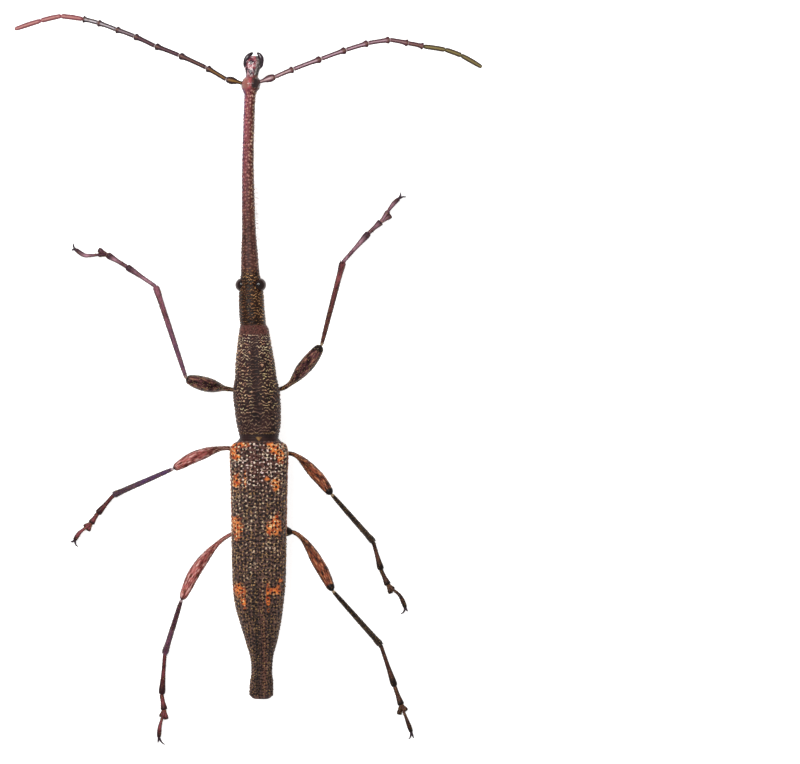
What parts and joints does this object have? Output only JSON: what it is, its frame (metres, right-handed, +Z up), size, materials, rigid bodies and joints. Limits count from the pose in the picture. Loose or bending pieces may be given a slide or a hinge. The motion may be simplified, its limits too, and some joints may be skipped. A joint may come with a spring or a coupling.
{
  "type": "new zealand giraffe weevil",
  "caption": "Life-size still model of a male giraffe weevil: very long snout, elbowless beaded antennae, ribbed wing cases with a narrow tail, and slender legs with swollen thighs.",
  "frame": {"origin": "on the floor under the middle of the whole outline, antennae and feet included", "axes": "+Y runs along the body towards the head, +X to the right of the animal seen from above, +Z up"},
  "size_m": [0.0438, 0.0687, 0.0054],
  "materials": {
    "thorax_cuticle": "dark brown wrinkled cuticle of the prothorax, head and underside, lit gold on its ridges",
    "elytra_cuticle": "near-black brown wing cases with rows of gold grains and orange patches",
    "rostrum_cuticle": "reddish mauve granulate cuticle of the long rostrum",
    "eye": "glossy black-brown compound eye",
    "jaw_cuticle": "smooth dark jaws",
    "coxa_cuticle": "dark hip joints under the body",
    "femur_cuticle": "red-brown thighs with dark knees",
    "tibia_cuticle": "dark brown to mauve shins",
    "tarsus_cuticle": "dark brown feet with reddish edges",
    "antenna_cuticle": "red-brown antennae, paler at the tips"
  },
  "bodies": {
    "root": {"abdomen": "thorax_cuticle", "antenna_left_club": "antenna_cuticle", "antenna_left_funicle": "antenna_cuticle", "antenna_left_scape": "antenna_cuticle", "antenna_right_club": "antenna_cuticle", "antenna_right_funicle": "antenna_cuticle", "antenna_right_scape": "antenna_cuticle", "coxa_front_left": "coxa_cuticle", "coxa_front_right": "coxa_cuticle", "coxa_hind_left": "coxa_cuticle", "coxa_hind_right": "coxa_cuticle", "coxa_middle_left": "coxa_cuticle", "coxa_middle_right": "coxa_cuticle", "elytron_left": "elytra_cuticle", "elytron_right": "elytra_cuticle", "eye_left": "eye", "eye_right": "eye", "femur_front_left": "femur_cuticle", "femur_front_right": "femur_cuticle", "femur_hind_left": "femur_cuticle", "femur_hind_right": "femur_cuticle", "femur_middle_left": "femur_cuticle", "femur_middle_right": "femur_cuticle", "head": "thorax_cuticle", "mandible_left": "jaw_cuticle", "mandible_right": "jaw_cuticle", "prothorax": "thorax_cuticle", "rear_thorax": "thorax_cuticle", "rostrum": "rostrum_cuticle", "rostrum_tip": "rostrum_cuticle", "tarsus_front_left": "tarsus_cuticle", "tarsus_front_right": "tarsus_cuticle", "tarsus_hind_left": "tarsus_cuticle", "tarsus_hind_right": "tarsus_cuticle", "tarsus_middle_left": "tarsus_cuticle", "tarsus_middle_right": "tarsus_cuticle", "tibia_front_left": "tibia_cuticle", "tibia_front_right": "tibia_cuticle", "tibia_hind_left": "tibia_cuticle", "tibia_hind_right": "tibia_cuticle", "tibia_middle_left": "tibia_cuticle", "tibia_middle_right": "tibia_cuticle"}
  },
  "joints": []
}
